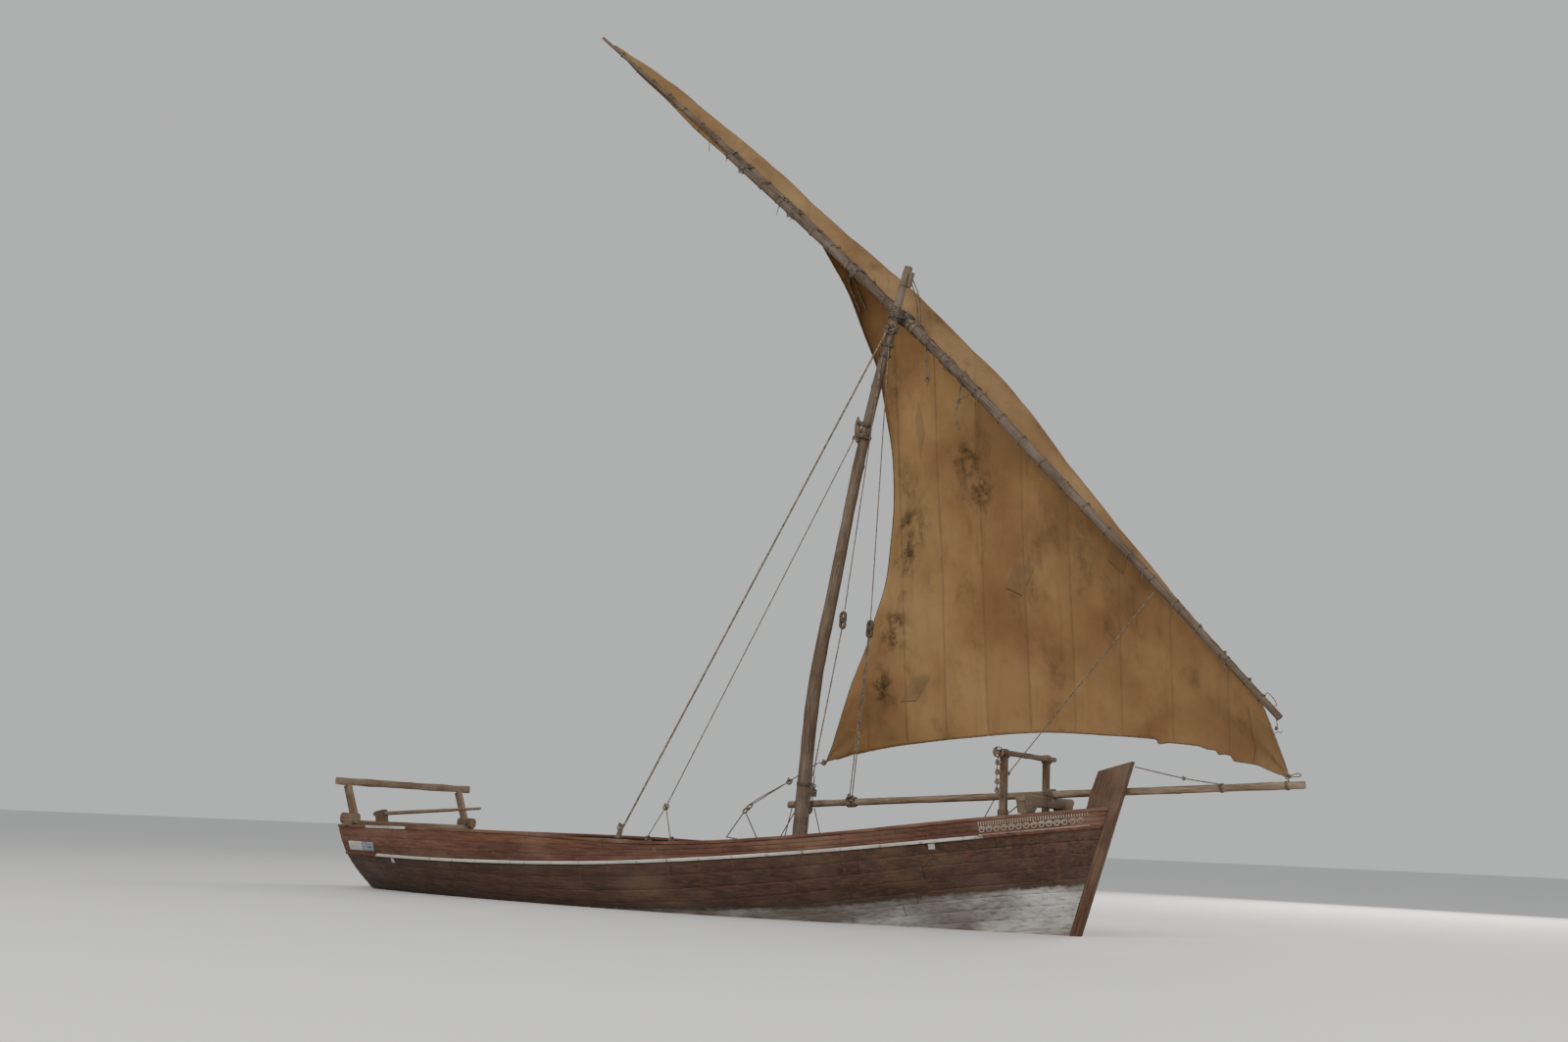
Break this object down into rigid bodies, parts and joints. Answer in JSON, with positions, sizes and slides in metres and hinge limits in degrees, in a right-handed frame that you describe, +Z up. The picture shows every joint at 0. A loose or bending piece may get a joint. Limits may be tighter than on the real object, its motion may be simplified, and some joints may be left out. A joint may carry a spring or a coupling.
{
  "type": "sailing dhow",
  "caption": "Wooden sailing dhow afloat: round-bilged plank hull, raked mast, spliced yard with a lateen sail, decks, bowsprit, stern-hung rudder and tiller.",
  "frame": {"origin": "on the centreline at the waterline, amidships", "axes": "+X to the bow, +Y to port, +Z up; z = 0 is the waterline"},
  "size_m": [15.4753, 4.3371, 15.2845],
  "materials": {
    "hull_planking": "weathered oiled planking with a worn chalky coat under the waterline",
    "upper_strakes": "worn reddish brown paint",
    "white_paint": "chalky white paint",
    "deck": "bare weathered boards",
    "timber": "rough oiled timber",
    "pole": "natural pole, weathered",
    "iron": "rusty forged iron",
    "canvas": "stained cotton canvas",
    "rope": "laid fibre rope"
  },
  "bodies": {
    "hull": {"lower_planking_starboard": "hull_planking", "upper_strakes_starboard": "upper_strakes", "gunwale_starboard": "timber", "rubbing_strake_starboard": "white_paint", "lower_planking_port": "hull_planking", "upper_strakes_port": "upper_strakes", "gunwale_port": "timber", "rubbing_strake_port": "white_paint", "keel": "hull_planking", "stem_post": "timber", "stern_post": "timber", "transom": "upper_strakes", "keelson": "timber", "frames_starboard": "timber", "frames_port": "timber", "mast": "pole", "mast_step": "timber", "poop_deck": "deck", "fore_deck": "deck", "hold_floor": "deck", "poop_deck_beams": "timber", "fore_deck_beams": "timber", "mast_partners": "timber", "bowsprit": "pole", "anchor_beam": "timber", "bow_post_starboard": "timber", "bow_post_port": "timber", "bow_rail": "timber", "stern_sill": "timber", "taffrail_post_starboard": "timber", "taffrail_post_port": "timber", "taffrail": "timber", "gudgeon_lower": "iron", "gudgeon_upper": "iron", "masthead_cap": "timber", "mast_cheek_block": "timber", "backstay": "rope", "side_stay": "rope", "fall_to_mast": "rope", "fall_to_bowsprit": "rope"},
    "rudder": {"rudder": "timber", "tiller": "pole", "pintle_lower": "iron", "pintle_upper": "iron"},
    "yard": {"yard_lower_spar": "pole", "yard_upper_spar": "pole", "parrel": "rope", "sail": "canvas"}
  },
  "joints": [
    {"name": "rudder_turn", "type": "hinge", "parent": "hull", "child": "rudder", "pos_m": [-5.816, 0, 0], "axis": [-0.2242, 0, 0.9746], "range_deg": [-38, 38]},
    {"name": "yard_swing", "type": "hinge", "parent": "hull", "child": "yard", "pos_m": [3.25, 0, 8.6], "axis": [0.1685, 0, 0.9857], "range_deg": [-70, 6]}
  ]
}
